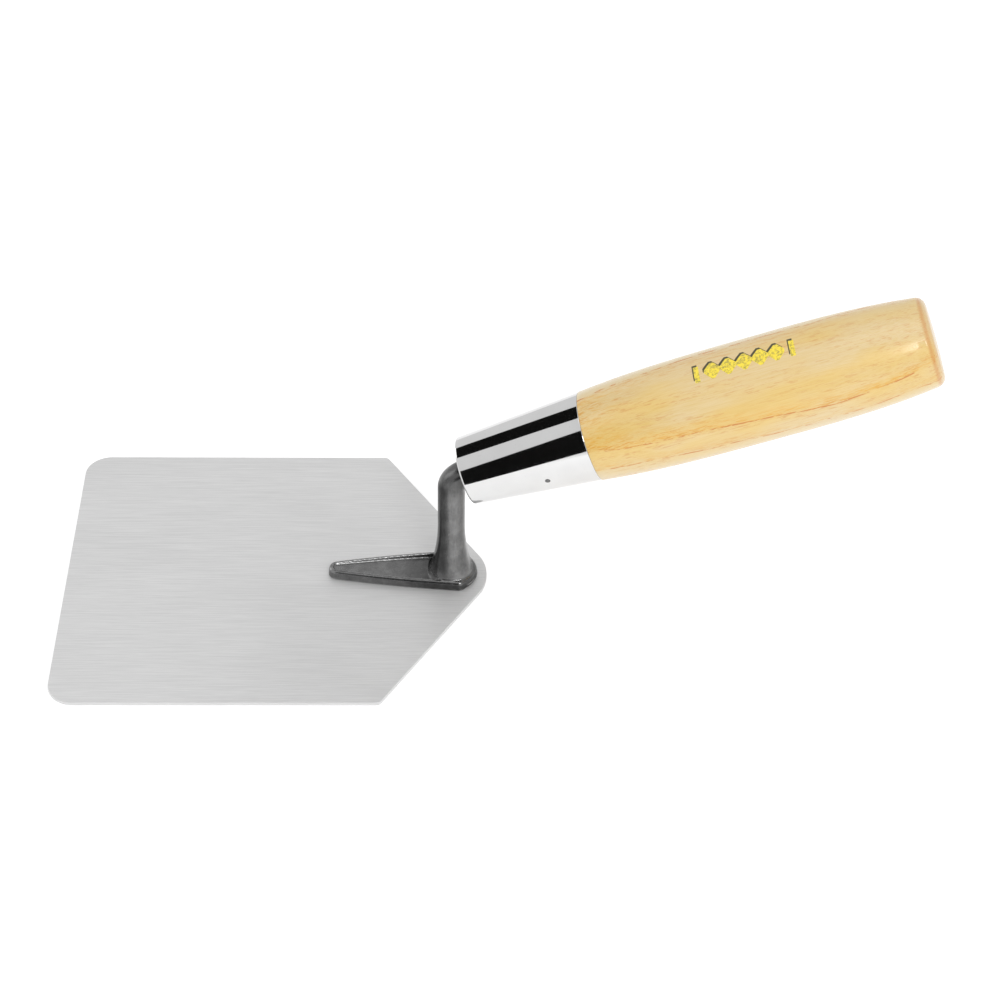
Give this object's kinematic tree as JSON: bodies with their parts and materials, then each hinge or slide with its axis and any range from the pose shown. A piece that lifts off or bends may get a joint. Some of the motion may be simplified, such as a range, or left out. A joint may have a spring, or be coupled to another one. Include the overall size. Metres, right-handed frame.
{
  "type": "plastering trowel",
  "caption": "Finishing trowel: flat five-sided blade, forged cranked tang riveted on, tapered chromed ferrule and a turned wooden handle rising away from the blade.",
  "frame": {"origin": "centre of the blade's working face: the underside, at the middle of the blade's length, on the centreline", "axes": "+X from the blade's square front edge towards the handle, +Z out of the blade on the handle's side, +Y across the blade, so that the blade lies on Z = 0"},
  "size_m": [0.2605, 0.11, 0.105],
  "materials": {
    "blade_steel": "fine brushing along the blade, satin",
    "forged_steel": "dark grey lacquered forging, semi-gloss",
    "ferrule_chrome": "bright plated, mirror polish",
    "pin_steel": "plain wire nail, dull",
    "handle_wood": "pale open-grained hardwood, satin varnish"
  },
  "bodies": {
    "root": {"blade": "blade_steel", "tang": "forged_steel", "foot_rivets": "forged_steel", "ferrule": "ferrule_chrome", "ferrule_pin": "pin_steel", "handle": "handle_wood"}
  },
  "joints": []
}
